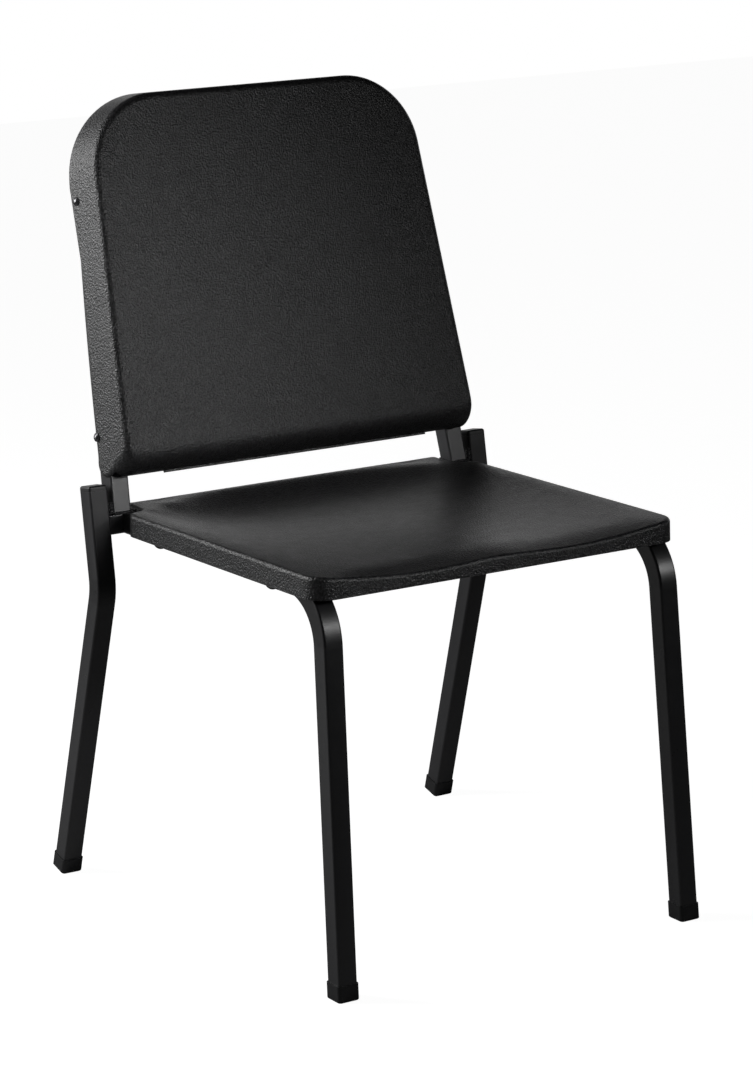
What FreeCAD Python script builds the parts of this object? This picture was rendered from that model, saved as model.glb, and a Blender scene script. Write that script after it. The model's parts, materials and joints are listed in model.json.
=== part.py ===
import FreeCAD, Part
import math
import os

import Sketcher
from FreeCAD import Placement, Rotation, Vector

# A stacking choir chair: a square steel tube frame on four slip-on feet, a dished seat shell
# and a deep rolled back shell. X is across the chair, the sitter faces -Y and Z is up.
# The origin is on the floor, at the middle of the chair's outer box.
# Sizes are in millimetres and degrees.

doc = FreeCAD.newDocument("choir_chair")
sheet = doc.addObject("Spreadsheet::Sheet", "Sheet")
sub_parts = []


def size(alias, number):
    """Writes one driving dimension into the next free row of the sheet."""
    size.row += 1
    sheet.set("A%d" % size.row, alias)
    sheet.set("B%d" % size.row, str(number))
    sheet.setAlias("B%d" % size.row, alias)
    sheet.recompute()
    return float(sheet.get(alias))


size.row = 0


# Driving dimensions

# Square tube, used for every leg, rail, upright and the rear cross tube
tube_side = size("tube_side", 22.2)
tube_wall = size("tube_wall", 1.6)
tube_corner = size("tube_corner", 2.6)
bend_radius = size("bend_radius", 61)

# Frame: the rear cross tube is the datum that the legs, uprights and seat are set from
cross_top_z = size("cross_top_height", 418)
cross_front_y = size("cross_front_setback", 156.43)
rail_inset = size("rail_inset_from_seat_side", 7.4)
rear_leg_offset = size("rear_leg_outside_seat_side", 8.5)
seat_tilt = size("seat_tilt", 0.75)
weld_gap = size("weld_gap", 0.1)

# Front legs
front_foot_y = size("front_foot_reach", 276.57)
front_lean = size("front_leg_lean", 4.86)
front_splay = size("front_leg_splay", 1.22)

# Rear legs: they lean forward from the floor, then back beside the uprights
rear_foot_y = size("rear_foot_setback", 239.23)
rear_lean = size("rear_leg_lean", 16)
rear_splay = size("rear_leg_splay", 0.49)
rear_top_lean = size("rear_leg_top_lean", 9)
rear_top_z = size("rear_leg_top_height", 443)
rear_advance = size("rear_leg_advance", 2.2)

# Uprights that carry the back
upright_leg_gap = size("upright_gap_to_rear_leg", 4.5)
upright_lean = size("upright_lean", 13.8)
upright_inward = size("upright_inward_lean", 3.53)
upright_height = size("upright_height", 345)

# Foot caps and leg top plugs
cap_wall = size("cap_wall", 1.2)
cap_floor = size("cap_floor", 3.2)
cap_height = size("cap_height", 17)
cap_rim = size("cap_edge_chamfer", 1)
plug_head = size("plug_head_height", 6)
plug_round = size("plug_round", 2.5)
plug_stem = size("plug_stem_length", 14)
fit_gap = size("fit_gap", 0.25)
pin_gap = size("pin_gap", 0.3)

# Seat shell
seat_wall = size("seat_wall", 3.2)
seat_land = size("seat_land_thickness", 4)
seat_gap = size("seat_gap", 0.4)
seat_half_width = size("seat_half_width", 223.6)
seat_front_reach = size("seat_front_reach", 395)
seat_rear_overhang = size("seat_rear_overhang", 27)
seat_skirt = size("seat_skirt_height", 24)
seat_front_corner = size("seat_front_corner", 24)
seat_notch_side = size("seat_notch_side_gap", 5.4)
seat_notch_front = size("seat_notch_front_gap", 16)
seat_edge = size("seat_edge_radius", 4)
dish_depth = size("dish_depth", 15)
dish_front_depth = size("dish_front_depth", 6)
dish_side_margin = size("dish_side_margin", 15.6)
dish_rear_margin = size("dish_rear_margin", 19)
dish_rear_length = size("dish_rear_length", 95)
dish_squareness = size("dish_squareness", 3.4)
dish_front_rim = size("dish_front_rim_softness", 1.6)
dish_rear_rim = size("dish_rear_rim_softness", 1.05)
thigh_crown = size("thigh_crown", 4)
thigh_crown_width = size("thigh_crown_width", 60)
front_fall = size("seat_front_fall", 6)
front_fall_length = size("seat_front_fall_length", 45)
seat_rib = size("seat_rib_thickness", 2.4)
seat_rib_depth = size("seat_rib_depth", 18)
seat_rail_stop = size("seat_rail_stop", 12)
seat_slot_gap = size("seat_slot_gap", 1)
seat_rib_spacing = size("seat_rib_spacing", 80)
seat_rib_row = size("seat_rib_row_spacing", 94)
seat_rib_rear = size("seat_rib_rear_row", 60)

# Back shell
back_wall = size("back_wall", 2.6)
back_gap = size("back_gap", 0.2)
back_lean = size("back_lean", 15.6)
back_bottom_z = size("back_bottom_height", 457.8)
back_front_setback = size("back_front_setback", 40.2)
back_height = size("back_height", 400.5)
back_top_corner = size("back_top_corner", 84)
back_flare = size("back_flare", 7.6)
back_edge = size("back_edge_radius", 8.5)
back_roll = size("back_bottom_roll", 28)
back_low_corner = size("back_low_corner_edge", 16)
back_side_low_edge = size("back_side_low_edge", 12)
back_rear_edge = size("back_rear_corner_edge", 8)
back_rear_corner = size("back_rear_corner", 24)
back_depth = size("back_depth", 61.6)
back_bow = size("back_rear_bow_radius", 3250)
hood_height = size("back_hood_height", 100)
hood_step = size("back_hood_step", 1.9)
hood_blend = size("back_hood_blend", 12)
lip_end_gap = size("back_lip_gap_to_upright", 38.9)
lip_drop = size("back_lip_drop", 2)
lip_thickness = size("back_lip_thickness", 4)
back_rib = size("back_rib_thickness", 2.2)
back_rib_depth = size("back_rib_depth", 12)
back_rib_spacing = size("back_rib_spacing", 66)
back_rib_row = size("back_rib_row_spacing", 100)

# Front strap, fasteners and bumpers
strap_width = size("strap_width", 25)
strap_thickness = size("strap_thickness", 4)
strap_setback = size("strap_setback", 330)
back_screw_shank = size("back_screw_shank", 5)
back_screw_head = size("back_screw_head", 9.5)
back_screw_dome = size("back_screw_dome", 2.8)
back_screw_length = size("back_screw_length", 14)
back_screw_low = size("back_screw_low", 46)
back_screw_low_depth = size("back_screw_low_depth", 50.6)
back_screw_below_top = size("back_screw_below_upright_top", 20.5)
back_screw_high_depth = size("back_screw_high_depth", 41)
seat_screw_shank = size("seat_screw_shank", 5)
seat_screw_head = size("seat_screw_head", 10)
seat_screw_dome = size("seat_screw_dome", 2.6)
seat_screw_length = size("seat_screw_length", 19)
seat_boss = size("seat_boss", 11)
seat_boss_length = size("seat_boss_length", 14)
seat_screw_front = size("seat_screw_front", 310)
seat_screw_rear = size("seat_screw_rear", 95)
bumper_size = size("bumper_size", 15)
bumper_height = size("bumper_height", 7)
bumper_stem = size("bumper_stem", 6)
bumper_front = size("bumper_front", 285)
bumper_rear = size("bumper_rear", 60)
doc.recompute()


# Helpers for the parametric bodies


def tangent(angle):
    return math.tan(math.radians(angle))


def sine(angle):
    return math.sin(math.radians(angle))


def cosine(angle):
    return math.cos(math.radians(angle))


def new_body(label):
    body = doc.addObject("PartDesign::Body", label)
    body.Label = label
    return body


def new_sketch(body, role, name):
    """A sketch on one of the body's own origin planes."""
    sketch = body.newObject("Sketcher::SketchObject", name)
    plane = next(part for part in body.Origin.OriginFeatures if part.Role == role)
    sketch.AttachmentSupport = [(plane, "")]
    sketch.MapMode = "FlatFace"
    return sketch


def rounded_rectangle(sketch, width, depth, corner, names):
    """A centred rectangle with rounded corners; names are the sheet formulas of its sizes."""
    half_w = width / 2
    half_d = depth / 2
    first = sketch.GeometryCount
    corners = [(1, 1, 0), (-1, 1, 90), (-1, -1, 180), (1, -1, 270)]
    ends = []
    for sign_x, sign_y, start in corners:
        centre = Vector(sign_x * (half_w - corner), sign_y * (half_d - corner), 0)
        circle = Part.Circle(centre, Vector(0, 0, 1), corner)
        arc = Part.ArcOfCircle(circle, math.radians(start), math.radians(start + 90))
        sketch.addGeometry(arc, False)
        ends.append((arc.StartPoint, arc.EndPoint))
    for index in range(4):
        line = Part.LineSegment(ends[index][1], ends[(index + 1) % 4][0])
        sketch.addGeometry(line, False)
    for index in range(4):
        arc = first + index
        line = first + 4 + index
        next_arc = first + (index + 1) % 4
        sketch.addConstraint(Sketcher.Constraint("Tangent", arc, 2, line, 1))
        sketch.addConstraint(Sketcher.Constraint("Tangent", line, 2, next_arc, 1))
        direction = "Horizontal" if index % 2 == 0 else "Vertical"
        sketch.addConstraint(Sketcher.Constraint(direction, line))
    for index in range(1, 4):
        sketch.addConstraint(Sketcher.Constraint("Equal", first, first + index))
    sketch.addConstraint(Sketcher.Constraint("Symmetric", first, 3, first + 2, 3, -1, 1))
    radius = sketch.addConstraint(Sketcher.Constraint("Radius", first, corner))
    across = sketch.addConstraint(Sketcher.Constraint("DistanceX", first + 5, 1, first + 7, 1, width))
    along = sketch.addConstraint(Sketcher.Constraint("DistanceY", first + 6, 1, first + 4, 1, depth))
    for index, formula in ((radius, names[2]), (across, names[0]), (along, names[1])):
        sketch.setExpression("Constraints[%d]" % index, formula)


def sharp_rectangle(sketch, width, depth, names):
    """A centred rectangle; names are the sheet formulas of its two sides."""
    first = sketch.GeometryCount
    signs = ((1, 1), (-1, 1), (-1, -1), (1, -1))
    points = [Vector(sign_x * width / 2, sign_y * depth / 2, 0) for sign_x, sign_y in signs]
    for index in range(4):
        sketch.addGeometry(Part.LineSegment(points[index], points[(index + 1) % 4]), False)
    for index in range(4):
        following = first + (index + 1) % 4
        direction = "Horizontal" if index % 2 == 0 else "Vertical"
        sketch.addConstraint(Sketcher.Constraint("Coincident", first + index, 2, following, 1))
        sketch.addConstraint(Sketcher.Constraint(direction, first + index))
    sketch.addConstraint(Sketcher.Constraint("Symmetric", first, 1, first + 2, 1, -1, 1))
    across = sketch.addConstraint(Sketcher.Constraint("DistanceX", first, 2, first, 1, width))
    along = sketch.addConstraint(Sketcher.Constraint("DistanceY", first + 1, 2, first + 1, 1, depth))
    sketch.setExpression("Constraints[%d]" % across, names[0])
    sketch.setExpression("Constraints[%d]" % along, names[1])


TUBE_OUTSIDE = ("Sheet.tube_side", "Sheet.tube_side", "Sheet.tube_corner")
TUBE_INSIDE = ("Sheet.tube_side - 2 * Sheet.tube_wall", "Sheet.tube_side - 2 * Sheet.tube_wall")


def tube_section(sketch):
    """The ring that every square tube has in section."""
    rounded_rectangle(sketch, tube_side, tube_side, tube_corner, TUBE_OUTSIDE)
    bore = tube_side - 2 * tube_wall
    sharp_rectangle(sketch, bore, bore, TUBE_INSIDE)


def pad(body, sketch, length, formula, symmetric=False, direction=None):
    """Thickens a sketch; a direction slants the pad, with its length still measured upright."""
    feature = body.newObject("PartDesign::Pad", sketch.Name + "_pad")
    feature.Profile = sketch
    feature.Length = length
    feature.setExpression("Length", formula)
    if symmetric:
        feature.SideType = "Symmetric"
    if direction is not None:
        feature.UseCustomVector = True
        feature.Direction = direction
        feature.AlongSketchNormal = True
    doc.recompute()
    return feature


def bent_tube(label, first_run, turn, second_run):
    """A square tube that rises along Z, turns towards +Y and runs straight on."""
    body = new_body(label)
    path = new_sketch(body, "YZ_Plane", label + "_path")
    start = Vector(0, first_run, 0)
    centre = Vector(bend_radius, first_run, 0)
    bend = Part.ArcOfCircle(
        Part.Circle(centre, Vector(0, 0, 1), bend_radius),
        math.radians(180 - turn),
        math.radians(180),
    )
    along = Vector(sine(turn), cosine(turn), 0)
    path.addGeometry(Part.LineSegment(Vector(0, 0, 0), start), False)
    path.addGeometry(bend, False)
    path.addGeometry(Part.LineSegment(bend.StartPoint, bend.StartPoint + along * second_run), False)
    path.addConstraint(Sketcher.Constraint("Coincident", 0, 1, -1, 1))
    path.addConstraint(Sketcher.Constraint("Vertical", 0))
    path.addConstraint(Sketcher.Constraint("Tangent", 0, 2, 1, 2))
    path.addConstraint(Sketcher.Constraint("Tangent", 1, 1, 2, 1))
    path.addConstraint(Sketcher.Constraint("Distance", 0, first_run))
    path.addConstraint(Sketcher.Constraint("Distance", 2, second_run))
    radius = path.addConstraint(Sketcher.Constraint("Radius", 1, bend_radius))
    path.setExpression("Constraints[%d]" % radius, "Sheet.bend_radius")
    end = bend.StartPoint + along * second_run
    path.addConstraint(Sketcher.Constraint("DistanceX", -1, 1, 2, 2, end.x))
    section = new_sketch(body, "XY_Plane", label + "_section")
    tube_section(section)
    doc.recompute()
    pipe = body.newObject("PartDesign::AdditivePipe", label + "_pipe")
    pipe.Profile = section
    pipe.Spine = path
    doc.recompute()
    return body


def keep(part):
    sub_parts.append(part)
    return part


# Frame geometry in the side view, worked out from the driving dimensions

half_tube = tube_side / 2
socket_side = tube_side + 2 * fit_gap
cap_side = socket_side + 2 * cap_wall
flat_margin = 1e-4
cross_centre_z = cross_top_z - half_tube
tilt_turn = Rotation(Vector(1, 0, 0), -seat_tilt)
rail_outer_x = seat_half_width - rail_inset
rear_leg_inner_x = seat_half_width + rear_leg_offset
upright_outer_x = rear_leg_inner_x - upright_leg_gap


def tipped_cap_lift(lean, splay):
    """Height of the middle of a square cap's underside when its low edge touches the floor."""
    half_flat = cap_side / 2 - cap_rim
    return half_flat * (sine(lean) + sine(splay))


def meeting_point(point_a, slope_a, point_b, slope_b):
    """Where two lines of the side view cross; a slope is the y travelled per unit of height."""
    height = (point_b[0] - point_a[0] + slope_a * point_a[1] - slope_b * point_b[1]) / (slope_a - slope_b)
    return point_a[0] + slope_a * (height - point_a[1]), height


# Front legs with their seat rails, one bent tube on each side
rail_turn = 90 - front_lean + seat_tilt
front_cap_depth = cap_side / cosine(front_lean)
front_cap_width = cap_side / cosine(front_splay)
front_end_z = cap_floor + weld_gap + half_tube * (sine(front_lean) + sine(front_splay))
front_end_y = -front_foot_y + front_cap_depth / 2 + front_end_z * tangent(front_lean)
rail_axis_x = rail_outer_x - half_tube
rail_rise = tangent(seat_tilt)
rail_corner_z = cross_centre_z
for _ in range(20):
    rail_corner_y = front_end_y + tangent(front_lean) * (rail_corner_z - front_end_z)
    rail_corner_z = cross_centre_z + rail_rise * (cross_front_y - rail_corner_y)
rail_tangent = bend_radius * tangent(rail_turn / 2)
front_drop = (rail_corner_z - front_end_z) / cosine(front_splay)
front_run = front_drop / cosine(front_lean) - rail_tangent
rail_end_y = cross_front_y - weld_gap - half_tube * rail_rise
rail_run = (rail_end_y - rail_corner_y) / cosine(seat_tilt) - rail_tangent


def front_leg_placement(side):
    """Stands the leg plane on the rail's axis and swings the foot outwards."""
    lean_turn = Rotation(Vector(1, 0, 0), -front_lean)
    splay_turn = Rotation(Vector(0, 1, 0), side * -front_splay)
    pivot = Vector(side * rail_axis_x, rail_corner_y, rail_corner_z)
    start = Vector(0, -(tangent(front_lean) * front_drop), -front_drop)
    return Placement(pivot + splay_turn.multVec(start), splay_turn * lean_turn)


# Rear legs, bent just below the seat
rear_foot_z = tipped_cap_lift(rear_lean, rear_splay)
rear_cap_base = cap_floor + weld_gap
rear_turn = rear_lean + rear_top_lean
rear_cap_y = rear_foot_y + (cap_side / 2 - cap_rim) * cosine(rear_lean)
rear_end_y = rear_cap_y - rear_cap_base * sine(rear_lean)
rear_end_z = rear_foot_z + rear_cap_base * cosine(rear_lean)
rear_axis_at_cross = cross_front_y + half_tube - rear_advance
kink_y, kink_z = meeting_point(
    (rear_end_y, rear_end_z),
    -tangent(rear_lean),
    (rear_axis_at_cross, cross_centre_z),
    tangent(rear_top_lean),
)
kink_tangent = bend_radius * tangent(rear_turn / 2)
rear_run = (kink_z - rear_end_z) / cosine(rear_lean) / cosine(rear_splay) - kink_tangent
rear_top_run = (rear_top_z - kink_z) / cosine(rear_top_lean) - kink_tangent
rear_axis_x = rear_leg_inner_x + half_tube


def rear_leg_placement(side):
    """Swings the leg plane about the point where the cross tube meets it."""
    lean_turn = Rotation(Vector(1, 0, 0), rear_lean)
    splay_turn = Rotation(Vector(0, 1, 0), side * -rear_splay)
    pivot = Vector(side * rear_axis_x, rear_end_y, cross_centre_z)
    start = Vector(0, 0, -(cross_centre_z - rear_end_z) / cosine(rear_splay))
    return Placement(pivot + splay_turn.multVec(start), splay_turn * lean_turn)


for side, word in ((-1, "left"), (1, "right")):
    front_leg = keep(bent_tube(word + "_front_leg_and_rail", front_run, rail_turn, rail_run))
    front_leg.Placement = front_leg_placement(side)
    rear_leg = keep(bent_tube(word + "_rear_leg", rear_run, rear_turn, rear_top_run))
    rear_leg.Placement = rear_leg_placement(side)

# Rear cross tube between the rear legs
cross_tube = keep(new_body("rear_cross_tube"))
cross_section = new_sketch(cross_tube, "YZ_Plane", "cross_section")
tube_section(cross_section)
pad(
    cross_tube,
    cross_section,
    2 * (rear_leg_inner_x - 2 * weld_gap),
    "2 * (Sheet.seat_half_width + Sheet.rear_leg_outside_seat_side - 2 * Sheet.weld_gap)",
    symmetric=True,
)
cross_tube.Placement = Placement(Vector(0, cross_front_y + half_tube, cross_centre_z), Rotation())

# Uprights: mitred square to the cross tube, leaning back and in
upright_width = tube_side / cosine(upright_inward)
upright_depth = tube_side / cosine(upright_lean)
UPRIGHT_OUTSIDE = (
    "Sheet.tube_side / cos(Sheet.upright_inward_lean * 1deg)",
    "Sheet.tube_side / cos(Sheet.upright_lean * 1deg)",
    "Sheet.tube_corner",
)
UPRIGHT_INSIDE = (
    UPRIGHT_OUTSIDE[0] + " - 2 * Sheet.tube_wall",
    UPRIGHT_OUTSIDE[1] + " - 2 * Sheet.tube_wall",
)
upright_axis_x = upright_outer_x - upright_width / 2
upright_inner_x = upright_outer_x - upright_width
upright_axis_y = cross_front_y + upright_depth / 2
for side, word in ((-1, "left"), (1, "right")):
    upright = keep(new_body(word + "_upright"))
    section = new_sketch(upright, "XY_Plane", word + "_upright_section")
    rounded_rectangle(section, upright_width, upright_depth, tube_corner, UPRIGHT_OUTSIDE)
    bore = (upright_width - 2 * tube_wall, upright_depth - 2 * tube_wall)
    sharp_rectangle(section, bore[0], bore[1], UPRIGHT_INSIDE)
    direction = Vector(-side * tangent(upright_inward), tangent(upright_lean), 1)
    pad(upright, section, upright_height, "Sheet.upright_height", direction=direction)
    upright.Placement = Placement(
        Vector(side * upright_axis_x, upright_axis_y, cross_top_z + weld_gap), Rotation()
    )
doc.recompute()


# Plain solids that are not swept or padded: helpers that work on the sheet's values


def rounded_wire(corners, place):
    """A closed outline through (a, b, radius) corners; place turns (a, b) into a 3-D point."""
    edges = []
    ends = []
    count = len(corners)
    for index, (a, b, radius) in enumerate(corners):
        here = Vector(a, b, 0)
        before = Vector(*corners[index - 1][:2], 0)
        after = Vector(*corners[(index + 1) % count][:2], 0)
        to_before = (before - here).normalize()
        to_after = (after - here).normalize()
        half_angle = to_before.getAngle(to_after) / 2
        reach = radius / math.tan(half_angle)
        start = here + to_before * reach
        end = here + to_after * reach
        centre = here + (to_before + to_after).normalize() * (radius / math.sin(half_angle))
        middle = centre - (to_before + to_after).normalize() * radius
        ends.append((start, middle, end, radius))
    for index in range(count):
        start, middle, end, radius = ends[index]
        if radius > 0:
            arc = Part.Arc(place(start.x, start.y), place(middle.x, middle.y), place(end.x, end.y))
            edges.append(arc.toShape())
        following = ends[(index + 1) % count][0]
        edges.append(Part.LineSegment(place(end.x, end.y), place(following.x, following.y)).toShape())
    return Part.Wire(edges)


def box_between(low, high):
    return Part.makeBox(high[0] - low[0], high[1] - low[1], high[2] - low[2], Vector(*low))


def only_solid(shape):
    """Booleans wrap a single solid in a compound; this takes it out."""
    return shape.Solids[0] if len(shape.Solids) == 1 else shape


def feature(label, shape, placement=None):
    part = doc.addObject("Part::Feature", label)
    part.Label = label
    part.Shape = shape
    if placement is not None:
        part.Placement = placement
    return part


def drill(name, diameter, formula, length, placement):
    """A cylinder centred on the placement and running along its Z axis."""
    rod = doc.addObject("Part::Cylinder", name)
    rod.Radius = diameter / 2
    rod.setExpression("Radius", "(" + formula + ") / 2")
    rod.Height = length
    rod.Placement = placement.multiply(Placement(Vector(0, 0, -length / 2), Rotation()))
    return rod


def drilled(body, drills):
    """The body with a group of round holes taken out; it takes the body's place in the assembly."""
    label = body.Label
    body.Label = label + "_blank"
    tools = doc.addObject("Part::Compound", label + "_drills")
    tools.Links = drills
    cut = doc.addObject("Part::Cut", label + "_drilled")
    cut.Base = body
    cut.Tool = tools
    doc.recompute()
    cut.Label = label
    sub_parts[sub_parts.index(body)] = cut
    return cut


def domed_pin(head, dome, shank, length):
    """A domed head that stands on Z = 0, with its shank below."""
    rise = dome * 0.7
    radius = ((head / 2) ** 2 + rise ** 2) / (2 * rise)
    ball = Part.makeSphere(radius, Vector(0, 0, dome - radius))
    crown = Part.makeCylinder(head / 2, dome).common(ball)
    pin = crown.fuse(Part.makeCylinder(shank / 2, length, Vector(0, 0, -length)))
    return only_solid(pin.removeSplitter())


def placed_group(solid, placements):
    copies = []
    for placement in placements:
        copy = solid.copy()
        copy.Placement = placement
        copies.append(copy)
    return Part.makeCompound(copies)


# Slip-on foot caps: the front pair stands level on the floor, the rear pair square to its legs
CAP_SIDE = "(Sheet.tube_side + 2 * (Sheet.cap_wall + Sheet.fit_gap))"
SOCKET_SIDE = "(Sheet.tube_side + 2 * Sheet.fit_gap)"
CAP_CORNER = "Sheet.tube_corner + Sheet.cap_wall + Sheet.fit_gap"
SOCKET_CORNER = "Sheet.tube_corner + Sheet.fit_gap"
LEVEL_WIDTH = " / cos(Sheet.front_leg_splay * 1deg)"
LEVEL_DEPTH = " / cos(Sheet.front_leg_lean * 1deg)"


def foot_cap(label, placement, lean=0.0, splay=0.0):
    """A cap whose walls follow a leg that leans away from the cap's own Z axis."""
    cap = keep(new_body(label))
    stretch = (LEVEL_WIDTH, LEVEL_DEPTH) if lean else ("", "")
    outer_names = (CAP_SIDE + stretch[0], CAP_SIDE + stretch[1], CAP_CORNER)
    socket_names = (SOCKET_SIDE + stretch[0], SOCKET_SIDE + stretch[1], SOCKET_CORNER)
    width = cap_side / cosine(splay)
    depth = cap_side / cosine(lean)
    direction = Vector(tangent(splay), tangent(lean), 1)
    floor = new_sketch(cap, "XY_Plane", label + "_floor")
    rounded_rectangle(floor, width, depth, tube_corner + cap_wall + fit_gap, outer_names)
    base = pad(cap, floor, cap_floor, "Sheet.cap_floor", direction=direction)
    base.Reversed = True
    walls = new_sketch(cap, "XY_Plane", label + "_walls")
    rounded_rectangle(walls, width, depth, tube_corner + cap_wall + fit_gap, outer_names)
    inner_width = socket_side / cosine(splay)
    inner_depth = socket_side / cosine(lean)
    rounded_rectangle(walls, inner_width, inner_depth, tube_corner + fit_gap, socket_names)
    sleeve = pad(cap, walls, cap_height - cap_floor, "Sheet.cap_height - Sheet.cap_floor",
                 direction=direction)
    edges = []
    for index, edge in enumerate(sleeve.Shape.Edges, 1):
        if abs(edge.BoundBox.ZMax + cap_floor) < flat_margin:
            edges.append("Edge%d" % index)
    rim = cap.newObject("PartDesign::Chamfer", label + "_rim")
    rim.Base = (sleeve, edges)
    rim.Size = cap_rim
    rim.setExpression("Size", "Sheet.cap_edge_chamfer")
    cap.Placement = placement
    doc.recompute()
    return cap


def front_cap_placement(side):
    """Level, with its walls on the front leg's axis; its own Z = 0 is the floor of the socket."""
    end = front_leg_placement(side).Base
    drop = end.z - cap_floor
    return Placement(
        Vector(end.x + side * tangent(front_splay) * drop, end.y - tangent(front_lean) * drop, cap_floor),
        Rotation(),
    )


# Plugs that close the rear legs' upper ends


def leg_plug(label, placement):
    plug = keep(new_body(label))
    head = new_sketch(plug, "XY_Plane", label + "_head")
    rounded_rectangle(head, tube_side, tube_side, tube_corner, TUBE_OUTSIDE)
    pad(plug, head, plug_head, "Sheet.plug_head_height")
    stem = new_sketch(plug, "XY_Plane", label + "_stem")
    stem_side = tube_side - 2 * (tube_wall + fit_gap)
    stem_formula = "Sheet.tube_side - 2 * (Sheet.tube_wall + Sheet.fit_gap)"
    sharp_rectangle(stem, stem_side, stem_side, (stem_formula, stem_formula))
    shaft = pad(plug, stem, plug_stem, "Sheet.plug_stem_length")
    shaft.Reversed = True
    doc.recompute()
    edges = []
    for index, edge in enumerate(shaft.Shape.Edges, 1):
        if abs(edge.BoundBox.ZMin - plug_head) < flat_margin:
            edges.append("Edge%d" % index)
    dome = plug.newObject("PartDesign::Fillet", label + "_dome")
    dome.Base = (shaft, edges)
    dome.Radius = plug_round
    dome.setExpression("Radius", "Sheet.plug_round")
    plug.Placement = placement
    doc.recompute()
    return plug


def rear_leg_top(side):
    """The frame of the rear leg's upper end, with Z along the tube."""
    along_y = bend_radius * (1 - cosine(rear_turn)) + rear_top_run * sine(rear_turn)
    along_z = rear_run + bend_radius * sine(rear_turn) + rear_top_run * cosine(rear_turn)
    end = Placement(Vector(0, along_y, along_z), Rotation(Vector(1, 0, 0), -rear_turn))
    lift = Placement(Vector(0, 0, weld_gap), Rotation())
    return rear_leg_placement(side).multiply(end).multiply(lift)


for side, word in ((-1, "left"), (1, "right")):
    inward = -side * front_splay
    foot_cap(word + "_front_foot_cap", front_cap_placement(side), front_lean, inward)
    below_leg = Placement(Vector(0, 0, -weld_gap), Rotation())
    foot_cap(word + "_rear_foot_cap", rear_leg_placement(side).multiply(below_leg))
    leg_plug(word + "_leg_top_plug", rear_leg_top(side))


# The seat's own frame: X across, Y rearwards from the cross tube's front, Z = 0 on its rim
seat_frame = Placement(Vector(0, cross_front_y, cross_top_z + seat_gap + seat_land), tilt_turn)
rail_top = -(seat_land + seat_gap)
rail_bottom = rail_top - tube_side
rail_inner_x = rail_outer_x - tube_side


def at_seat(x, y, z, downwards=False):
    """A placement in the seat's frame, with Z up or, for what hangs below, down."""
    turn = Rotation(Vector(1, 0, 0), 180) if downwards else Rotation()
    return seat_frame.multiply(Placement(Vector(x, y, z), turn))


def rail_places(side, distances):
    """Points on one rail's axis, at distances ahead of the cross tube."""
    return [(side * rail_axis_x, -distance) for distance in distances]


seat_screw_rows = (seat_screw_front, seat_screw_rear)
bumper_rows = (bumper_front, bumper_rear)
seat_screw_places = rail_places(-1, seat_screw_rows) + rail_places(1, seat_screw_rows)
bumper_places = rail_places(-1, bumper_rows) + rail_places(1, bumper_rows)


# Seat shell: a dished top with a central crown at the front, and a skirt all round


def smooth_step(value):
    value = min(max(value, 0), 1)
    return value * value * (3 - 2 * value)


dish_half_width = seat_half_width - dish_side_margin
seat_notch_half = upright_inner_x - seat_notch_side


def sitting_height(x, y):
    """Height of the sitting surface: a flat rim round a dish that runs out over the front edge."""
    dish_centre = seat_rear_overhang - dish_rear_margin - dish_rear_length
    from_front = (y + seat_front_reach) / (dish_centre + seat_front_reach)
    rearward = smooth_step(from_front)
    across = (abs(x) / dish_half_width) ** dish_squareness
    behind = (max(y - dish_centre, 0) / dish_rear_length) ** dish_squareness
    rim_softness = dish_front_rim + (dish_rear_rim - dish_front_rim) * rearward
    bowl = max(1 - across - behind, 0) ** rim_softness
    depth = dish_front_depth + (dish_depth - dish_front_depth) * rearward
    crown = thigh_crown * math.exp(-((x / thigh_crown_width) ** 2)) * (1 - rearward)
    near_front = max(1 - (y + seat_front_reach) / front_fall_length, 0)
    inside = max(1 - (abs(x) / seat_half_width) ** 4, 0)
    return (crown - depth) * bowl - front_fall * near_front ** 2 * inside


def sitting_cutter(drop):
    """Everything above the sitting surface when it is lowered by drop."""
    steps = 30
    half = seat_half_width + tube_side / 2
    front = -seat_front_reach - tube_side / 2
    length = seat_front_reach + seat_rear_overhang + tube_side
    rows = []
    for i in range(steps + 1):
        x = -half + 2 * half * i / steps
        row = []
        for j in range(steps + 1):
            y = front + length * j / steps
            row.append(Vector(x, y, sitting_height(x, y) - drop))
        rows.append(row)
    surface = Part.BSplineSurface()
    surface.interpolate(rows)
    return surface.toShape().extrude(Vector(0, 0, 3 * seat_skirt))


def seat_outline(inset, z):
    half = seat_half_width - inset
    notch = seat_notch_half - inset
    front = -seat_front_reach + inset
    step = -seat_notch_front - inset
    rear = seat_rear_overhang - inset
    corner = seat_front_corner - inset
    small = max(seat_land + 1 - inset, 1)
    side = [
        (half, front, corner),
        (half, step, max(corner - 8, 1)),
        (notch, step, small + 2 * inset),
        (notch, rear, small),
    ]
    mirrored = [(-x, y, radius) for x, y, radius in reversed(side)]
    return rounded_wire(side + mirrored, lambda a, b: Vector(a, b, z))


def seat_block(inset, low, high, draft=0.015):
    wires = [seat_outline(inset + draft * (z + seat_skirt), z) for z in (low, high)]
    return Part.makeLoft(wires, True, True)


def seat_hollow():
    """The space under the seat, with channels where the rails lie."""
    under = seat_block(seat_wall, -seat_skirt - 1, -seat_land)
    return only_solid(under.cut(sitting_cutter(seat_wall)))


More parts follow.
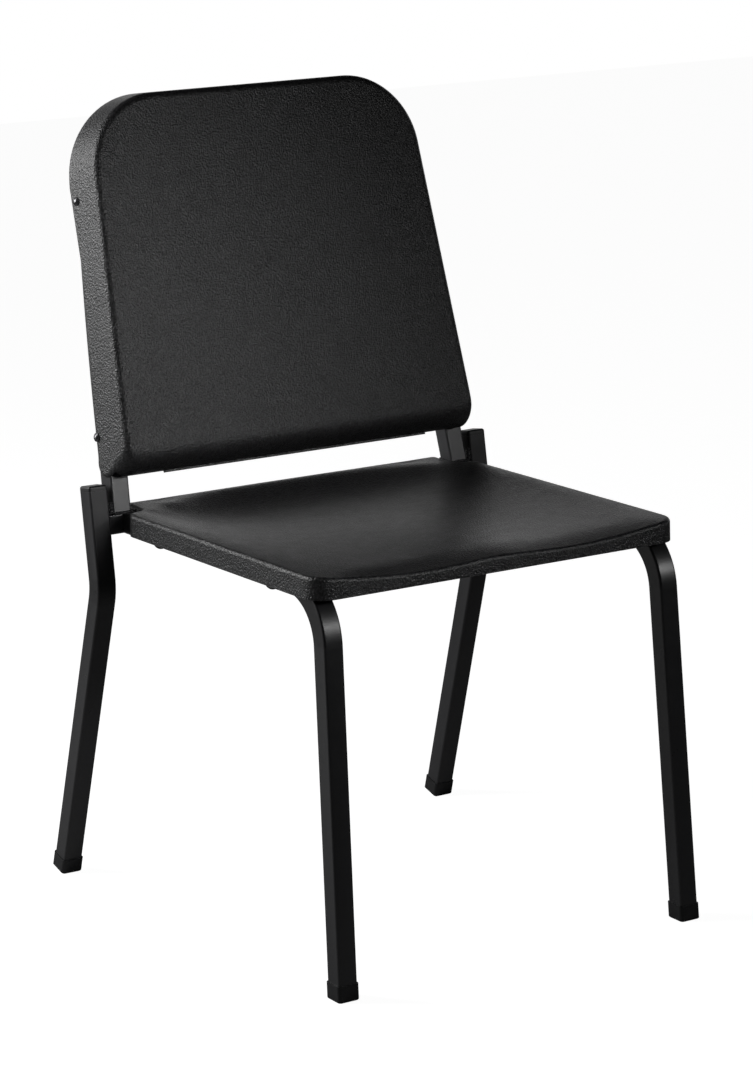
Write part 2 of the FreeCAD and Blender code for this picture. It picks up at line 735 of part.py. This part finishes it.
def seat_clearances():
    """Room for the rails and for the cross tube, which lies level under the tilted seat."""
    front = -seat_front_reach + seat_rail_stop
    below = -seat_skirt - 2 * seat_slot_gap
    relief = tube_side * tangent(seat_tilt)
    tools = []
    for side in (-1, 1):
        xs = sorted((side * (rail_inner_x - seat_slot_gap), side * (rail_outer_x + seat_slot_gap)))
        tools.append(box_between((xs[0], front, below), (xs[1], 0, -seat_land)))
    end = rear_leg_inner_x + seat_slot_gap
    low = (-end, -seat_slot_gap, rail_bottom - seat_slot_gap)
    tools.append(box_between(low, (end, tube_side + seat_slot_gap, relief - seat_land)))
    return tools


def seat_ribs(hollow):
    """Stiffening ribs below the dish, between the rails and ahead of the cross tube."""
    half = rail_inner_x - seat_slot_gap
    front = -seat_front_reach
    rear = -seat_slot_gap
    half_rib = seat_rib / 2
    walls = []
    for place in (-1.5, -0.5, 0.5, 1.5):
        x = place * seat_rib_spacing
        walls.append(box_between((x - half_rib, front, -seat_rib_depth), (x + half_rib, rear, 0)))
    for row in range(4):
        y = -seat_rib_rear - row * seat_rib_row
        walls.append(box_between((-half, y - half_rib, -seat_rib_depth), (half, y + half_rib, 0)))
    joined = walls[0].multiFuse(walls[1:])
    return joined.common(hollow)


def seat_edge_rounds(blank):
    """Fillet data for the edges of the top."""
    rounds = []
    for index, edge in enumerate(blank.Edges, 1):
        if edge.BoundBox.ZMin > front_fall - seat_skirt:
            rounds.append((index, seat_edge, seat_edge))
    return rounds


def seat_bosses():
    """Screw bosses that reach down into the rails, and the bores of their screws."""
    base = -seat_land - seat_boss_length
    bore = seat_screw_shank / 2 + pin_gap
    bosses = []
    bores = []
    for x, y in seat_screw_places:
        bosses.append(Part.makeCylinder(seat_boss / 2, seat_boss_length, Vector(x, y, base)))
        bores.append(Part.makeCylinder(bore, seat_boss_length - pin_gap, Vector(x, y, base)))
    return Part.makeCompound(bosses), Part.makeCompound(bores)


seat_solid = seat_block(0, -seat_skirt, seat_skirt / 2).cut(sitting_cutter(0))
seat_blank = feature("seat_blank", only_solid(seat_solid))
seat_rolled = doc.addObject("Part::Fillet", "seat_rolled")
seat_rolled.Base = seat_blank
seat_rolled.Edges = seat_edge_rounds(seat_blank.Shape)
doc.recompute()


def seat_shell():
    hollow = seat_hollow()
    bosses, bores = seat_bosses()
    cavity = hollow.fuse(seat_clearances())
    shell = seat_rolled.Shape.cut(cavity)
    shell = shell.fuse([seat_ribs(hollow)] + bosses.Solids)
    return only_solid(shell.cut(bores))


seat = keep(feature("seat_shell", seat_shell(), seat_frame))


# Front cross strap between the rails
strap_y = -strap_setback
strap_end = rail_inner_x - weld_gap
strap = doc.addObject("Part::Box", "front_cross_strap")
strap.Length = 2 * strap_end
strap.Width = strap_width
strap.setExpression("Width", "Sheet.strap_width")
strap.Height = strap_thickness
strap.setExpression("Height", "Sheet.strap_thickness")
strap.Placement = at_seat(-strap_end, strap_y - strap_width / 2, rail_bottom)
strap.Label = "front_cross_strap"
keep(strap)


# Back shell: its own frame has X across, Y into the depth and Z up the front panel
back_origin_z = back_bottom_z + back_roll * sine(back_lean)
back_origin_y = cross_front_y + tangent(upright_lean) * (back_origin_z - cross_top_z) - back_front_setback
back_frame = Placement(Vector(0, back_origin_y, back_origin_z), Rotation(Vector(1, 0, 0), -back_lean))
flare_slope = tangent(back_flare)
hood_start = back_height - hood_height
lip_half_width = upright_inner_x - lip_end_gap

# The side walls run along the uprights and clear them by one gap from bottom to top
upright_step = Vector(-tangent(upright_inward), tangent(upright_lean), 1)
upright_run = back_frame.Rotation.inverted().multVec(upright_step)
upright_foot = Vector(upright_outer_x, cross_front_y, cross_top_z + weld_gap)
upright_top = back_frame.inverse().multVec(upright_foot + upright_step * upright_height)
back_taper = (tangent(upright_inward) + flare_slope * upright_run.y) / upright_run.z
back_half_width = (
    upright_top.x + back_gap + back_wall + back_taper * upright_top.z - flare_slope * upright_top.y
)
back_screw_high = upright_top.z - back_screw_below_top


def back_half_at(rise, depth):
    return back_half_width - back_taper * rise + flare_slope * depth


def back_outline(depth, inset, low):
    """Front view outline at one depth: tapered sides and two round top corners."""
    top = back_height - inset + flare_slope * depth
    corner = back_top_corner - inset + flare_slope * depth
    corners = []
    for side in (1, -1):
        at_low = (side * (back_half_at(low, depth) - inset), low, 0)
        at_top = (side * (back_half_at(top, depth) - inset), top, corner)
        corners += [at_low, at_top] if side > 0 else [at_top, at_low]
    return rounded_wire(corners, lambda a, b: Vector(a, depth, b))


def bow_turn(rise):
    """Angle that the bowed rear edge has turned through at a height above its rear corner."""
    return math.degrees(math.asin((rise - back_rear_corner) / back_bow))


def arc_edge(chain, centre, start, turn):
    """Adds the arc that turns from start about centre to a chain of side view edges."""
    offset = start - centre
    axis = Vector(1, 0, 0)
    middle = centre + Rotation(axis, turn / 2).multVec(offset)
    end = centre + Rotation(axis, turn).multVec(offset)
    chain.append(Part.Arc(start, middle, end).toShape())
    return end


def line_edge(chain, start, end):
    chain.append(Part.LineSegment(start, end).toShape())
    return end


def bowed_rear_edge(chain, start, x, top):
    """The side wall's rear edge: bottom corner, long forward bow and the hood's step."""
    hood_full = hood_start + hood_blend
    bow_centre = Vector(x, back_depth - back_bow, back_rear_corner)
    hood_centre = bow_centre + Vector(0, hood_step, 0)
    hood_foot = hood_centre + Vector(0, back_bow * cosine(bow_turn(hood_full)), hood_full - back_rear_corner)
    here = line_edge(chain, start, Vector(x, back_depth - back_rear_corner, 0))
    here = arc_edge(chain, Vector(x, back_depth - back_rear_corner, back_rear_corner), here, 90)
    here = arc_edge(chain, bow_centre, here, bow_turn(hood_start))
    here = line_edge(chain, here, hood_foot)
    return arc_edge(chain, hood_centre, here, bow_turn(top) - bow_turn(hood_full))


def open_rear(chain, start, x, top):
    """The hollow runs straight out past the rear edge."""
    here = line_edge(chain, start, Vector(x, 2 * back_depth, start.z))
    return line_edge(chain, here, Vector(x, 2 * back_depth, top))


def back_profile(inset, x, rear):
    """Side view outline: front line and bottom roll, closed by one of the rear edges above."""
    top = back_height + back_roll
    corner = Vector(x, inset, top)
    chain = []
    here = line_edge(chain, corner, Vector(x, inset, back_roll))
    here = arc_edge(chain, Vector(x, back_roll, back_roll), here, 90)
    here = rear(chain, here, x, top)
    line_edge(chain, here, corner)
    return Part.Wire(chain)


def back_block(inset, low):
    """The flared front view outline, run through the whole depth."""
    wires = [back_outline(depth, inset, low) for depth in (0, 2 * back_depth)]
    return Part.makeLoft(wires, True, True)


def back_form(inset, rear):
    half = back_half_width + back_depth
    slab = Part.Face(back_profile(inset, -half, rear)).extrude(Vector(2 * half, 0, 0))
    return only_solid(back_block(inset, -back_roll).common(slab))


def toward(edge, measure, low, high):
    """The two end radii of an edge, low where the measure of its end points is smaller."""
    first = measure(edge.valueAt(edge.FirstParameter))
    last = measure(edge.valueAt(edge.LastParameter))
    return (low, high) if first < last else (high, low)


def back_edge_rounds(blank, inset):
    """Fillet data: even on the front edges, and fading round the bottom to the rear corners."""
    front_round = back_edge - inset
    low_round = back_low_corner - inset
    side_round = back_side_low_edge - inset
    rounds = []
    for index, edge in enumerate(blank.Edges, 1):
        box = edge.BoundBox
        middle = edge.valueAt((edge.FirstParameter + edge.LastParameter) / 2)
        along_side = box.XLength < box.YLength + box.ZLength
        above_roll = box.ZMin > back_roll - flat_margin and box.ZMax > back_roll + flat_margin
        if box.YMax < inset + flat_margin and above_roll:
            radii = (front_round, front_round)
        elif not along_side or middle.z > back_rear_corner + flat_margin:
            continue
        elif middle.y < back_roll:
            radii = toward(edge, lambda point: point.z, low_round, front_round)
        elif box.ZMax < inset + flat_margin:
            radii = toward(edge, lambda point: point.y, low_round, side_round)
        else:
            radii = toward(edge, lambda point: point.z, side_round, back_rear_edge)
        rounds.append((index, radii[0], radii[1]))
    return rounds


def rolled(name, blank, inset):
    """A filleted copy of one of the back's two forms."""
    fillet = doc.addObject("Part::Fillet", name)
    fillet.Base = blank
    fillet.Edges = back_edge_rounds(blank.Shape, inset)
    doc.recompute()
    return fillet


def back_underside():
    """Behind the bottom roll the shell is open downwards, between its side walls."""
    half = back_half_width + back_depth
    room = box_between((-half, back_roll, -back_roll), (half, 2 * back_depth, back_roll))
    return only_solid(back_block(back_wall, -back_roll).common(room))


def back_ribs(hollow):
    """Stiffening ribs behind the front panel, clear of the uprights."""
    ribs = []
    half = back_rib / 2
    reach = back_wall + back_rib_depth
    for column in range(-2, 3):
        x = column * back_rib_spacing
        ribs.append(box_between((x - half, 0, 0), (x + half, reach, back_height)))
    for row in (1, 2, 3):
        z = row * back_rib_row
        ribs.append(box_between((-lip_half_width, 0, z - half), (lip_half_width, reach, z + half)))
    return ribs[0].multiFuse(ribs[1:]).common(hollow)


def wall_normal(side):
    """Outward direction of a side wall."""
    return Vector(side, -flare_slope, back_taper).normalize()


def back_screw_placement(side, rise, depth):
    """On a side wall's outer face, with Z pointing outwards."""
    point = Vector(side * back_half_at(rise, depth), depth, rise)
    local = Placement(point, Rotation(Vector(0, 0, 1), wall_normal(side)))
    return back_frame.multiply(local)


def back_screw_placements(side):
    low = back_screw_placement(side, back_screw_low, back_screw_low_depth)
    high = back_screw_placement(side, back_screw_high, back_screw_high_depth)
    return [low, high]


back_outer = rolled("back_outer", feature("back_blank", back_form(0, bowed_rear_edge)), 0)
back_inner = rolled("back_inner", feature("back_inner_blank", back_form(back_wall, open_rear)), back_wall)


def back_shell():
    hollow = back_inner.Shape
    shell = back_outer.Shape.cut([hollow, back_underside()])
    lip_low = (-lip_half_width, back_roll - lip_thickness, -lip_drop)
    lip = box_between(lip_low, (lip_half_width, back_roll, back_wall / 2))
    shell = shell.fuse([back_ribs(hollow), lip])
    return only_solid(shell.removeSplitter())


back_molding = feature("back_molding", back_shell(), back_frame)
keep(back_molding).Label = "back_shell"


# Holes: through the back's side walls and the uprights, and through the rails
part_of = {part.Label: part for part in sub_parts}
wall_reach = back_screw_length / 2
pin_hole = back_screw_shank + 2 * pin_gap
pin_formula = "Sheet.back_screw_shank + 2 * Sheet.pin_gap"
back_drills = []
for side, word in ((-1, "left"), (1, "right")):
    upright_drills = []
    for number, place in enumerate(back_screw_placements(side), 1):
        deeper = place.multiply(Placement(Vector(0, 0, -wall_reach), Rotation()))
        name = "%s_screw_%d" % (word, number)
        back_drills.append(drill(name + "_wall", pin_hole, pin_formula, 2 * wall_reach, place))
        upright_drills.append(drill(name + "_upright", pin_hole, pin_formula, 2 * wall_reach, deeper))
    drilled(part_of[word + "_upright"], upright_drills)
    rail_drills = []
    top = rail_top - tube_wall / 2
    bottom = rail_bottom + tube_wall / 2
    reach = 3 * tube_wall
    for number, (x, y) in enumerate(rail_places(side, seat_screw_rows), 1):
        name = "%s_rail_%d" % (word, number)
        boss_formula = "Sheet.seat_boss + 2 * Sheet.pin_gap"
        rail_drills.append(drill(name + "_boss", seat_boss + 2 * pin_gap, boss_formula, reach, at_seat(x, y, top)))
        shank = seat_screw_shank + 2 * pin_gap
        shank_formula = "Sheet.seat_screw_shank + 2 * Sheet.pin_gap"
        rail_drills.append(drill(name + "_shank", shank, shank_formula, reach, at_seat(x, y, bottom)))
    for number, (x, y) in enumerate(rail_places(side, bumper_rows), 1):
        name = "%s_rail_bumper_%d" % (word, number)
        stem_formula = "Sheet.bumper_stem + 2 * Sheet.pin_gap"
        rail_drills.append(drill(name, bumper_stem + 2 * pin_gap, stem_formula, reach, at_seat(x, y, bottom)))
    drilled(part_of[word + "_front_leg_and_rail"], rail_drills)
drilled(part_of["back_shell"], back_drills)


# Screws and bumpers, each set of identical pieces in one node
def stood_off(placement, head=0.0):
    """Keeps a head a hair clear of its face; a rail's face rolls with its splayed leg."""
    clear = weld_gap + head / 2 * sine(front_splay)
    return placement.multiply(Placement(Vector(0, 0, clear), Rotation()))


def under_rail(x, y, head):
    return stood_off(at_seat(x, y, rail_bottom, downwards=True), head)


back_screw = domed_pin(back_screw_head, back_screw_dome, back_screw_shank, back_screw_length)
back_screw_spots = [stood_off(place) for side in (-1, 1) for place in back_screw_placements(side)]
keep(feature("back_screws", placed_group(back_screw, back_screw_spots)))

seat_screw = domed_pin(seat_screw_head, seat_screw_dome, seat_screw_shank, seat_screw_length)
seat_screw_spots = [under_rail(x, y, seat_screw_head) for x, y in seat_screw_places]
keep(feature("seat_screws", placed_group(seat_screw, seat_screw_spots)))

bumper = domed_pin(bumper_size, bumper_height, bumper_stem, 2 * tube_wall)
bumper_spots = [under_rail(x, y, bumper_size) for x, y in bumper_places]
keep(feature("seat_bumpers", placed_group(bumper, bumper_spots)))
doc.recompute()


# Every part has to be whole before any file is written
faults = []
for item in doc.Objects:
    if "Invalid" in item.State or "Error" in item.State:
        faults.append(item.Name)
for part in sub_parts:
    if part.Shape.isNull() or not part.Shape.isValid() or not part.Shape.Solids:
        faults.append(part.Label)
if faults:
    raise RuntimeError("unfinished parts: " + ", ".join(faults))

os.makedirs("parts", exist_ok=True)
for part in sub_parts:
    part.Shape.exportStep("parts/%s.step" % part.Label)
    print(part.Label, len(part.Shape.Solids), round(part.Shape.Volume, 2))
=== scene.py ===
import bpy
import bmesh
import json
import math
from mathutils import Matrix, Vector


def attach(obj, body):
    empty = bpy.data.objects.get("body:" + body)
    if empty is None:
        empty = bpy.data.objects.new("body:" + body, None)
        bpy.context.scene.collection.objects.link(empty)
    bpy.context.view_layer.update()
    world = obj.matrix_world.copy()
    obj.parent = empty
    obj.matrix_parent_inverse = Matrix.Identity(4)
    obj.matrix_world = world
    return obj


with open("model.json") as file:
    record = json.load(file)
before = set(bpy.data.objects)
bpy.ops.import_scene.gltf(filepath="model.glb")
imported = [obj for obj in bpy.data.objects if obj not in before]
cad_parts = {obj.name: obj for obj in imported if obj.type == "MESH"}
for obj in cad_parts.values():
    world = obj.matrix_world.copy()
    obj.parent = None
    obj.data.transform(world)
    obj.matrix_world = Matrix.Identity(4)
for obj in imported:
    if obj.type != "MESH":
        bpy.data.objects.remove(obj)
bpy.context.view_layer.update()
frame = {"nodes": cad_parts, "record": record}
nodes = frame["nodes"]
scene = bpy.context.scene


# Small helpers for node materials


class Surface:
    """A principled material whose nodes are added one by one."""

    def __init__(self, name):
        self.material = bpy.data.materials.new(name)
        self.material.use_nodes = True
        self.tree = self.material.node_tree
        self.shader = self.tree.nodes["Principled BSDF"]
        self.place = self.add("ShaderNodeTexCoord").outputs["Object"]

    def add(self, kind, **settings):
        node = self.tree.nodes.new(kind)
        for key, value in settings.items():
            if key in node.inputs:
                node.inputs[key].default_value = value
            else:
                setattr(node, key, value)
        return node

    def link(self, source, target):
        self.tree.links.new(source, target)

    def noise(self, scale, detail=2.0, roughness=0.5):
        node = self.add("ShaderNodeTexNoise", Scale=scale, Detail=detail, Roughness=roughness)
        self.link(self.place, node.inputs["Vector"])
        return node.outputs["Fac"]

    def cells(self, scale, feature="F1"):
        node = self.add("ShaderNodeTexVoronoi", Scale=scale, feature=feature)
        self.link(self.place, node.inputs["Vector"])
        return node.outputs["Distance"]

    def remap(self, value, low, high, to_low, to_high):
        node = self.add("ShaderNodeMapRange")
        for index, number in ((1, low), (2, high), (3, to_low), (4, to_high)):
            node.inputs[index].default_value = number
        self.link(value, node.inputs[0])
        return node.outputs[0]

    def combine(self, operation, first, second):
        node = self.add("ShaderNodeMath", operation=operation)
        for index, value in enumerate((first, second)):
            if isinstance(value, (int, float)):
                node.inputs[index].default_value = value
            else:
                self.link(value, node.inputs[index])
        return node.outputs[0]

    def blend(self, factor, first, second):
        """Mixes two colours by a factor."""
        node = self.add("ShaderNodeMix", data_type="RGBA")
        self.link(factor, node.inputs["Factor"])
        node.inputs[6].default_value = first
        node.inputs[7].default_value = second
        return node.outputs[2]

    def edges(self, low, high):
        """0 on flat ground, 1 on sharp convex edges."""
        point = self.add("ShaderNodeNewGeometry").outputs["Pointiness"]
        return self.remap(point, low, high, 0.0, 1.0)

    def bump(self, height, distance, strength=1.0):
        node = self.add("ShaderNodeBump", Strength=strength, Distance=distance)
        self.link(height, node.inputs["Height"])
        self.link(node.outputs["Normal"], self.shader.inputs["Normal"])


def grained_plastic(name, dark, light):
    """Injection-moulded plastic with a fine pebbled grain and slightly polished edges."""
    made = Surface(name)
    grain = made.noise(480.0, 3.0, 0.7)
    tone = made.remap(grain, 0.4, 0.6, 0.0, 1.0)
    made.link(made.blend(tone, dark, light), made.shader.inputs["Base Color"])
    pebbles = made.cells(560.0, "SMOOTH_F1")
    made.bump(made.combine("ADD", pebbles, grain), 0.0008, 0.8)
    rub = made.noise(55.0, 5.0, 0.6)
    worn = made.combine("MULTIPLY", made.edges(0.51, 0.56), 0.08)
    rough = made.combine("SUBTRACT", made.remap(rub, 0.3, 0.7, 0.36, 0.42), worn)
    made.link(rough, made.shader.inputs["Roughness"])
    return made.material


def powder_coat(name, dark, light):
    """Satin powder coat on steel tube: faint orange peel, and a painted highlight that makes sharp convex
    edges lighter.
    """
    made = Surface(name)
    # Painted highlight: the colour turns from the dark tone to the light one on sharp convex edges.
    painted_edge_highlight = made.edges(0.52, 0.60)
    made.link(made.blend(painted_edge_highlight, dark, light), made.shader.inputs["Base Color"])
    peel = made.noise(700.0, 2.0)
    speckle = made.noise(3200.0, 2.0)
    made.bump(made.combine("ADD", peel, made.combine("MULTIPLY", speckle, 0.3)), 0.00008, 0.4)
    rub = made.noise(40.0, 6.0, 0.65)
    made.link(made.remap(rub, 0.3, 0.7, 0.27, 0.35), made.shader.inputs["Roughness"])
    return made.material


def smooth_plastic(name, dark, light, rough_low, rough_high):
    """Plain moulded plastic or rubber with a very faint unevenness."""
    made = Surface(name)
    made.link(made.blend(made.noise(60.0, 4.0), dark, light), made.shader.inputs["Base Color"])
    made.bump(made.noise(1500.0, 3.0), 0.00006, 0.4)
    rough = made.remap(made.noise(120.0, 4.0), 0.3, 0.7, rough_low, rough_high)
    made.link(rough, made.shader.inputs["Roughness"])
    return made.material


def black_steel(name):
    """Blackened steel, with a painted highlight that makes sharp convex edges lighter."""
    made = Surface(name)
    # Painted highlight: the colour turns lighter on sharp convex edges.
    painted_edge_highlight = made.edges(0.52, 0.62)
    tone = made.blend(painted_edge_highlight, (0.03, 0.03, 0.032, 1), (0.16, 0.16, 0.165, 1))
    made.link(tone, made.shader.inputs["Base Color"])
    made.bump(made.noise(1800.0, 3.0), 0.00004, 0.4)
    made.link(made.remap(made.noise(300.0, 4.0), 0.3, 0.7, 0.22, 0.32), made.shader.inputs["Roughness"])
    made.shader.inputs["Metallic"].default_value = 0.7
    return made.material


shell_plastic = grained_plastic("shell_plastic", (0.002, 0.002, 0.0022, 1), (0.028, 0.028, 0.0295, 1))
# The frame coat's second, lighter colour is the painted highlight on sharp convex edges.
frame_coat = powder_coat("frame_coat", (0.009, 0.009, 0.01, 1), (0.035, 0.035, 0.037, 1))
foot_plastic = smooth_plastic(
    "foot_plastic", (0.006, 0.006, 0.007, 1), (0.012, 0.012, 0.013, 1), 0.38, 0.5
)
bumper_rubber = smooth_plastic(
    "bumper_rubber", (0.01, 0.01, 0.01, 1), (0.016, 0.016, 0.016, 1), 0.6, 0.75
)
screw_steel = black_steel("screw_steel")

finish_of = {
    "frame_tube": frame_coat,
    "shell_plastic": shell_plastic,
    "foot_plastic": foot_plastic,
    "bumper_rubber": bumper_rubber,
    "screw_steel": screw_steel,
}


def shade(thing, angle):
    """Smooth shading that keeps the edges sharper than the angle."""
    for polygon in thing.data.polygons:
        polygon.use_smooth = True
    split = thing.modifiers.new("crisp_edges", "EDGE_SPLIT")
    split.split_angle = math.radians(angle)


for entry in frame["record"]["subparts"]:
    thing = nodes[entry["node"]]
    thing.data.materials.clear()
    thing.data.materials.append(finish_of[entry["material_slot"]])
    shade(thing, 32)


# Weld beads: round the foot of each upright, and up the gap between it and the rear leg


def foot_corners(node):
    """The sides of a tube's lower end in x and y, and its height."""
    same_level = 1e-5
    points = [node.matrix_world @ vertex.co for vertex in node.data.vertices]
    foot = min(point.z for point in points)
    ends = [point for point in points if point.z < foot + same_level]
    xs = [point.x for point in ends]
    ys = [point.y for point in ends]
    return min(xs), max(xs), min(ys), max(ys), foot


def bead_path(corners, spacing):
    """Points at even steps along straight runs between the corners."""
    points = []
    for start, end in zip(corners, corners[1:]):
        count = max(int((end - start).length / spacing), 1)
        points += [start.lerp(end, step / count) for step in range(count)]
    return points + [corners[-1]]


def weld_bead(name, corners, radius):
    """A rippled bead of weld metal laid along a path."""
    sides = 10
    ring_spacing = radius * 0.35
    end_radius = radius * 0.3
    ripple = 0.22
    slow_ripple = 0.12
    path = bead_path([Vector(corner) for corner in corners], ring_spacing)
    rings = bmesh.new()
    previous = None
    for number, point in enumerate(path):
        ahead = path[min(number + 1, len(path) - 1)]
        behind = path[max(number - 1, 0)]
        along = (ahead - behind).normalized()
        across = along.orthogonal().normalized()
        upward = along.cross(across)
        swell = radius * (1 + ripple * math.sin(number * 1.9) + slow_ripple * math.sin(number * 0.83))
        if number in (0, len(path) - 1):
            swell = end_radius
        ring = []
        for side in range(sides):
            turn = 2 * math.pi * side / sides
            offset = (across * math.cos(turn) + upward * math.sin(turn)) * swell
            ring.append(rings.verts.new(point + offset))
        if previous:
            for side in range(sides):
                after = (side + 1) % sides
                rings.faces.new((previous[side], previous[after], ring[after], ring[side]))
        else:
            rings.faces.new(list(reversed(ring)))
        previous = ring
    rings.faces.new(previous)
    bmesh.ops.recalc_face_normals(rings, faces=rings.faces)
    mesh = bpy.data.meshes.new(name)
    rings.to_mesh(mesh)
    rings.free()
    bead = bpy.data.objects.new(name, mesh)
    scene.collection.objects.link(bead)
    mesh.materials.append(weld_coat)
    shade(bead, 60)
    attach(bead, "root")


# The weld coat's second, lighter colour is a painted highlight on the sharp convex ripples of the beads.
weld_coat = powder_coat("weld_coat", (0.014, 0.014, 0.015, 1), (0.06, 0.06, 0.062, 1))
bead_radius = 0.0016
gap_bead_radius = bead_radius * 1.5
gap_bead_height = 0.013
gap_bead_lean = gap_bead_height * 0.1
bead_lift = bead_radius * 0.3
gap_bead_offset = bead_radius * 1.3

for word, side in (("left", -1), ("right", 1)):
    low_x, high_x, front, rear, foot = foot_corners(nodes[word + "_upright"])
    level = foot + bead_lift
    outline = [
        (low_x, rear, level),
        (low_x, front, level),
        (high_x, front, level),
        (high_x, rear, level),
    ]
    weld_bead(word + "_upright_weld", outline, bead_radius)
    outer = low_x if side < 0 else high_x
    gap_x = outer + side * gap_bead_offset
    gap_y = front + bead_radius
    gap = [(gap_x, gap_y, level), (gap_x, gap_y + gap_bead_lean, level + gap_bead_height)]
    weld_bead(word + "_gap_weld", gap, gap_bead_radius)


# Studio: white floor and backdrop, one large soft lamp at the left rear and two weak ones in front


def studio_floor():
    """Grey floor for light that falls on it, to which camera rays add near white."""
    half = 6.0
    corners = [(-half, -half, 0), (half, -half, 0), (half, half, 0), (-half, half, 0)]
    mesh = bpy.data.meshes.new("studio_floor")
    mesh.from_pydata(corners, [], [(0, 1, 2, 3)])
    floor = bpy.data.objects.new("studio_floor", mesh)
    scene.collection.objects.link(floor)
    material = bpy.data.materials.new("studio_white")
    material.use_nodes = True
    tree = material.node_tree
    shader = tree.nodes["Principled BSDF"]
    shader.inputs["Base Color"].default_value = (0.3, 0.3, 0.3, 1)
    shader.inputs["Roughness"].default_value = 0.9
    shader.inputs["Specular IOR Level"].default_value = 0.0
    glow = tree.nodes.new("ShaderNodeEmission")
    glow.inputs["Color"].default_value = (1, 1, 1, 1)
    path = tree.nodes.new("ShaderNodeLightPath")
    share = tree.nodes.new("ShaderNodeMath")
    share.operation = "MULTIPLY"
    share.inputs[1].default_value = 0.96
    both = tree.nodes.new("ShaderNodeAddShader")
    tree.links.new(path.outputs["Is Camera Ray"], share.inputs[0])
    tree.links.new(share.outputs[0], glow.inputs["Strength"])
    tree.links.new(shader.outputs[0], both.inputs[0])
    tree.links.new(glow.outputs[0], both.inputs[1])
    tree.links.new(both.outputs[0], tree.nodes["Material Output"].inputs["Surface"])
    mesh.materials.append(material)


def studio_world():
    """White for camera rays; every other ray meets a pale band low behind the chair."""
    world = bpy.data.worlds.new("studio_world")
    world.use_nodes = True
    scene.world = world
    tree = world.node_tree
    tree.nodes.clear()
    out = tree.nodes.new("ShaderNodeOutputWorld")
    path = tree.nodes.new("ShaderNodeLightPath")
    place = tree.nodes.new("ShaderNodeTexCoord")
    split = tree.nodes.new("ShaderNodeSeparateXYZ")
    behind = tree.nodes.new("ShaderNodeMapRange")
    behind.interpolation_type = "SMOOTHSTEP"
    for index, number in ((1, 0.0), (2, 0.7), (3, 0.04), (4, 1.0)):
        behind.inputs[index].default_value = number
    low = tree.nodes.new("ShaderNodeMapRange")
    low.interpolation_type = "SMOOTHSTEP"
    for index, number in ((1, 0.12), (2, 0.36), (3, 1.1), (4, 0.02)):
        low.inputs[index].default_value = number
    level = tree.nodes.new("ShaderNodeMath")
    level.operation = "MULTIPLY"
    dim = tree.nodes.new("ShaderNodeBackground")
    dim.inputs["Color"].default_value = (1, 1, 1, 1)
    white = tree.nodes.new("ShaderNodeBackground")
    white.inputs["Color"].default_value = (1, 1, 1, 1)
    mix = tree.nodes.new("ShaderNodeMixShader")
    tree.links.new(place.outputs["Generated"], split.inputs[0])
    tree.links.new(split.outputs["Y"], behind.inputs[0])
    tree.links.new(split.outputs["Z"], low.inputs[0])
    tree.links.new(behind.outputs[0], level.inputs[0])
    tree.links.new(low.outputs[0], level.inputs[1])
    tree.links.new(level.outputs[0], dim.inputs["Strength"])
    tree.links.new(path.outputs["Is Camera Ray"], mix.inputs[0])
    tree.links.new(dim.outputs[0], mix.inputs[1])
    tree.links.new(white.outputs[0], mix.inputs[2])
    tree.links.new(mix.outputs[0], out.inputs["Surface"])


def soft_lamp(name, place, target, width, height, power, spread=180):
    """An area lamp aimed at a target; the spread is its full angle in degrees."""
    data = bpy.data.lights.new(name, "AREA")
    data.shape = "RECTANGLE"
    data.size = width
    data.size_y = height
    data.energy = power
    data.spread = math.radians(spread)
    lamp = bpy.data.objects.new(name, data)
    scene.collection.objects.link(lamp)
    aim = Vector(target) - Vector(place)
    lamp.matrix_world = Matrix.Translation(place) @ aim.to_track_quat("-Z", "Y").to_matrix().to_4x4()


studio_floor()
studio_world()
soft_lamp("key_lamp", (-1.4, 1.0, 1.2), (-0.2, 0.2, 0.6), 0.7, 0.9, 28)
soft_lamp("panel_lamp", (0.1, -1.1, 0.95), (-0.3, 0.15, 0.65), 0.3, 0.4, 0.55, 50)
soft_lamp("bend_lamp", (1.3, -2.0, 1.25), (0.1, -0.26, 0.38), 0.25, 0.25, 0.5, 40)


# Camera, fitted to the photograph


def photo_camera():
    """Camera with the place, turn and focal length that were fitted to the photograph."""
    yaw, pitch, roll = (math.radians(angle) for angle in (32.9165, 13.6085, -0.6568))
    forward = Vector((math.sin(yaw) * math.cos(pitch), math.cos(yaw) * math.cos(pitch), -math.sin(pitch)))
    level = Vector((math.cos(yaw), -math.sin(yaw), 0))
    upright = level.cross(forward)
    right = math.cos(roll) * level + math.sin(roll) * upright
    up = -math.sin(roll) * level + math.cos(roll) * upright
    data = bpy.data.cameras.new("photo_camera")
    data.sensor_fit = "AUTO"
    sensor = 36.0
    photo_height = 1080
    focal_pixels = 3822.4
    data.sensor_width = sensor
    data.lens = focal_pixels / photo_height * sensor
    data.clip_end = 50
    camera = bpy.data.objects.new("photo_camera", data)
    scene.collection.objects.link(camera)
    turn = Matrix((right, up, -forward)).transposed().to_4x4()
    camera.matrix_world = Matrix.Translation((-2.1387, -3.3083, 1.3425)) @ turn
    scene.camera = camera


photo_camera()
scene.view_settings.view_transform = "Standard"
